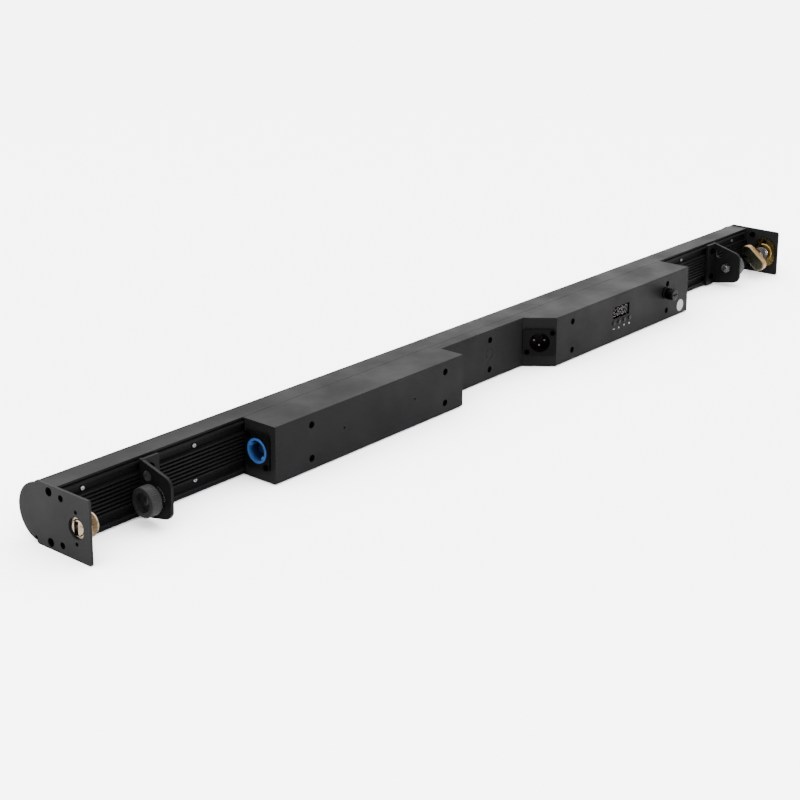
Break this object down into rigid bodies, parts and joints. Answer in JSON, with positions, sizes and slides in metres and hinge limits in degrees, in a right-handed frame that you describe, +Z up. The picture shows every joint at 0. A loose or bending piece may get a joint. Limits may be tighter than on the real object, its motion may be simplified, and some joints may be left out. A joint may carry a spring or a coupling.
{
  "type": "led strip batten",
  "caption": "Finned aluminium bar light with a clear round front, folded steel housings for mains supply and controls, end plates with couplers and hanging brackets with clamp knobs.",
  "frame": {"origin": "middle of the rectangle that the bar covers on the surface it stands on", "axes": "+X along the bar towards the end with the latch, +Y towards the lit front, +Z up"},
  "size_m": [1, 0.089, 0.05],
  "materials": {
    "body_paint": "satin black powder coat",
    "clear_cover": "clear plastic tube front",
    "board": "white circuit board",
    "board_green": "green circuit board",
    "led": "lamp package",
    "mirror_strip": "bright reflector strip",
    "rubber": "matt",
    "dark_screw": "black oxide",
    "bright_screw": "bright zinc",
    "yellow_zinc": "yellow passivated zinc",
    "chrome": "polished",
    "steel": "plain",
    "inlet_blue": "blue plastic",
    "black_plastic": "fine matt",
    "grip_plastic": "ribbed grip plastic",
    "tinted": "tinted window",
    "display": "digit block",
    "grey_plastic": "pale buttons",
    "transformer": "wound core",
    "capacitor": "sleeve",
    "fuse_glass": "glass fuse",
    "loom": "sleeved wires"
  },
  "bodies": {
    "bar": {"profile_body": "body_paint", "front_cover": "clear_cover", "white_led_board": "board", "rgb_led_boards": "board", "white_leds": "led", "rgb_leds": "led", "reflector_strips": "mirror_strip", "end_plate_left": "body_paint", "end_plate_right": "body_paint", "end_gasket_left": "rubber", "end_gasket_right": "rubber", "end_plate_screws": "dark_screw", "coupler_rivets": "dark_screw", "receiver_bush": "chrome", "guide_bush": "yellow_zinc", "power_housing": "body_paint", "bridge_cover": "body_paint", "control_housing": "body_paint", "housing_posts": "steel", "housing_screws": "dark_screw", "channel_screws": "bright_screw", "bracket_left": "body_paint", "bracket_right": "body_paint", "bracket_screws": "dark_screw", "bracket_nuts": "bright_screw", "power_inlet_body": "black_plastic", "power_inlet_insert": "inlet_blue", "signal_in_body": "black_plastic", "signal_in_pins": "yellow_zinc", "signal_out_body": "black_plastic", "connector_screws": "bright_screw", "fuse_holder": "black_plastic", "supply_board": "board_green", "supply_transformer": "transformer", "supply_capacitors": "capacitor", "control_board": "board_green", "display_module": "display", "display_window": "tinted", "button_switches": "black_plastic", "driver_board": "board_green", "wire_loom": "loom"},
    "washer_slide_left": {"knob_washer_left": "bright_screw"},
    "clamp_knob_left": {"knob_left": "grip_plastic", "knob_stud_left": "steel"},
    "washer_slide_right": {"knob_washer_right": "bright_screw"},
    "clamp_knob_right": {"knob_right": "grip_plastic", "knob_stud_right": "steel"},
    "ring_nut": {"receiver_nut": "yellow_zinc"},
    "latch_slider": {"latch_washer": "yellow_zinc", "latch_spring": "steel"},
    "latch": {"latch_shaft": "chrome", "latch_handle": "yellow_zinc", "latch_pin": "steel"},
    "release_tab": {"signal_out_tab": "steel"},
    "fuse_link": {"fuse": "fuse_glass"},
    "fuse_cap_turn": {"fuse_cap": "black_plastic"},
    "push_button_1": {"button_1": "grey_plastic"},
    "push_button_2": {"button_2": "grey_plastic"},
    "push_button_3": {"button_3": "grey_plastic"},
    "push_button_4": {"button_4": "grey_plastic"}
  },
  "joints": [
    {"name": "knob_left_travel", "type": "slide", "parent": "bar", "child": "washer_slide_left", "axis": [-1, 0, 0], "range_m": [0, 0.003]},
    {"name": "knob_left_turn", "type": "hinge", "parent": "washer_slide_left", "child": "clamp_knob_left", "pos_m": [-0.421, -0.0175, 0.0222], "axis": [1, 0, 0], "range_deg": [0, 864]},
    {"name": "knob_right_travel", "type": "slide", "parent": "bar", "child": "washer_slide_right", "axis": [1, 0, 0], "range_m": [0, 0.003]},
    {"name": "knob_right_turn", "type": "hinge", "parent": "washer_slide_right", "child": "clamp_knob_right", "pos_m": [0.421, -0.0175, 0.0222], "axis": [-1, 0, 0], "range_deg": [0, 864]},
    {"name": "ring_nut_spin", "type": "hinge", "parent": "bar", "child": "ring_nut", "pos_m": [-0.49, -0.0208, 0.025], "axis": [1, 0, 0], "continuous": true},
    {"name": "latch_slide", "type": "slide", "parent": "bar", "child": "latch_slider", "axis": [1, 0, 0], "range_m": [0, 0.008], "stiffness_N_per_m": 300, "springref_m": -0.004, "deforming": ["latch_spring"]},
    {"name": "latch_turn", "type": "hinge", "parent": "latch_slider", "child": "latch", "pos_m": [0.47, -0.0208, 0.025], "axis": [1, 0, 0], "range_deg": [0, 90]},
    {"name": "release_tab_push", "type": "slide", "parent": "bar", "child": "release_tab", "axis": [-1, 0, 0], "range_m": [0, 0.001], "stiffness_N_per_m": 400, "springref_m": -0.001},
    {"name": "fuse_pull", "type": "slide", "parent": "bar", "child": "fuse_link", "axis": [0, -1, 0], "range_m": [0, 0.026]},
    {"name": "fuse_cap_bayonet", "type": "hinge", "parent": "fuse_link", "child": "fuse_cap_turn", "pos_m": [0.2635, -0.036, 0.0305], "axis": [0, 1, 0], "range_deg": [0, 45]},
    {"name": "button_1_press", "type": "slide", "parent": "bar", "child": "push_button_1", "axis": [0, 1, 0], "range_m": [0, 0.0005], "stiffness_N_per_m": 600, "springref_m": -0.0005},
    {"name": "button_2_press", "type": "slide", "parent": "bar", "child": "push_button_2", "axis": [0, 1, 0], "range_m": [0, 0.0005], "stiffness_N_per_m": 600, "springref_m": -0.0005},
    {"name": "button_3_press", "type": "slide", "parent": "bar", "child": "push_button_3", "axis": [0, 1, 0], "range_m": [0, 0.0005], "stiffness_N_per_m": 600, "springref_m": -0.0005},
    {"name": "button_4_press", "type": "slide", "parent": "bar", "child": "push_button_4", "axis": [0, 1, 0], "range_m": [0, 0.0005], "stiffness_N_per_m": 600, "springref_m": -0.0005}
  ],
  "couplings": [
    {"joint": "knob_left_travel", "follows": "knob_left_turn", "m_per_rad": 0.00019894},
    {"joint": "knob_right_travel", "follows": "knob_right_turn", "m_per_rad": 0.00019894}
  ]
}
